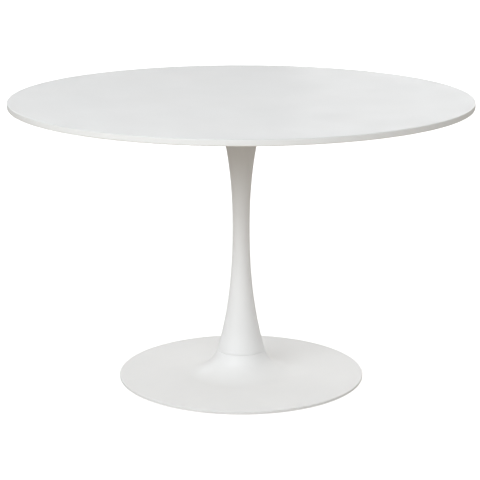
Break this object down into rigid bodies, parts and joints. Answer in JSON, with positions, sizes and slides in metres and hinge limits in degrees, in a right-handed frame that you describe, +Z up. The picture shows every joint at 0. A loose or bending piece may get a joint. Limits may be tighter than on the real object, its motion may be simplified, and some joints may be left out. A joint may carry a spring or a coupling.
{
  "type": "round pedestal table",
  "caption": "Round dining table: a thin lacquered board on a slim trumpet-shaped column and a wide flat disc base with a coved centre.",
  "frame": {"origin": "on the floor, under the middle of the tabletop, at the bottom centre of the bounding box", "axes": "+Z up along the column's axis; the table is turned about it, so X and Y are alike"},
  "size_m": [1.2, 1.2, 0.75],
  "materials": {
    "white_lacquer": "satin white lacquer over MDF board",
    "white_powder_coat": "satin white powder coat on spun steel",
    "black_steel": "matt black coat on steel plate",
    "zinc_steel": "bright zinc plate on steel",
    "zinc_alloy": "yellow-passivated zinc alloy",
    "glide_rubber": "dark grey rubber"
  },
  "bodies": {
    "root": {"tabletop": "white_lacquer", "mounting_plate": "black_steel", "column": "white_powder_coat", "upper_nut": "zinc_steel", "upper_washer": "zinc_steel", "tie_rod": "zinc_steel", "foot_spigot": "black_steel", "crown_plate": "black_steel", "stand_pipe": "black_steel", "lower_nut": "zinc_steel", "base_shell": "white_powder_coat", "ballast_plate": "black_steel", "glide_1": "glide_rubber", "glide_2": "glide_rubber", "glide_3": "glide_rubber", "glide_4": "glide_rubber", "glide_5": "glide_rubber", "glide_6": "glide_rubber", "top_screw_1": "zinc_steel", "top_screw_2": "zinc_steel", "top_screw_3": "zinc_steel", "top_screw_4": "zinc_steel", "top_screw_5": "zinc_steel", "top_screw_6": "zinc_steel", "top_screw_7": "zinc_steel", "top_screw_8": "zinc_steel", "threaded_insert_1": "zinc_alloy", "threaded_insert_2": "zinc_alloy", "threaded_insert_3": "zinc_alloy", "threaded_insert_4": "zinc_alloy", "threaded_insert_5": "zinc_alloy", "threaded_insert_6": "zinc_alloy", "threaded_insert_7": "zinc_alloy", "threaded_insert_8": "zinc_alloy"}
  },
  "joints": []
}
